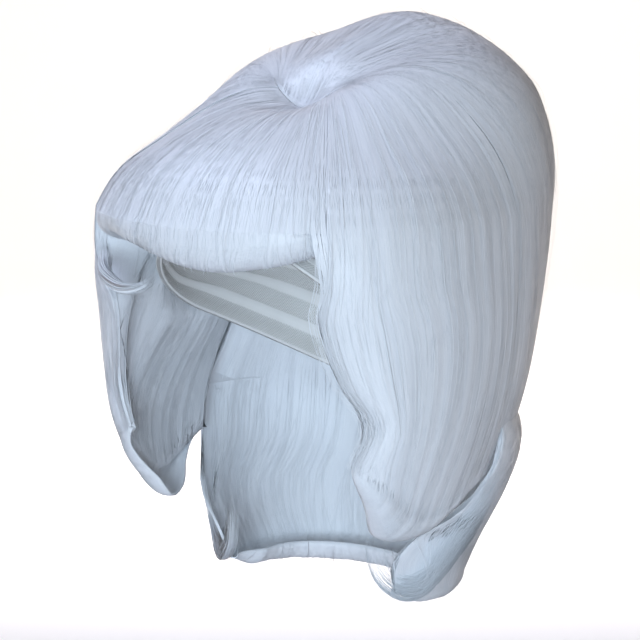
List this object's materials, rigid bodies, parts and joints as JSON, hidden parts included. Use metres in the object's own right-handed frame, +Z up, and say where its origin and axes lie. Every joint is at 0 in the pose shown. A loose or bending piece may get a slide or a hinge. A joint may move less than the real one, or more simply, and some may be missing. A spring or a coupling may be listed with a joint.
{
  "type": "beehive wig",
  "caption": "Full synthetic beehive wig: teased dome combed back from a part, puffed fringe, side panels tucked under at the hem and a rolled nape, sewn on a close cap.",
  "frame": {"origin": "inside top of the cap, where the crown of the wearer's head touches it", "axes": "+Z up, -Y the way the wearer faces, +X the wearer's left"},
  "size_m": [0.2486, 0.2794, 0.3391],
  "materials": {
    "hair": "icy white synthetic fibre, soft sheen",
    "cap": "off-white stretch weft cap, matte"
  },
  "bodies": {
    "root": {"cap": "cap", "fringe": "hair", "temple_curl": "hair", "beehive_crown": "hair", "side_panel_left": "hair", "side_panel_right": "hair", "nape_roll": "hair"}
  },
  "joints": []
}
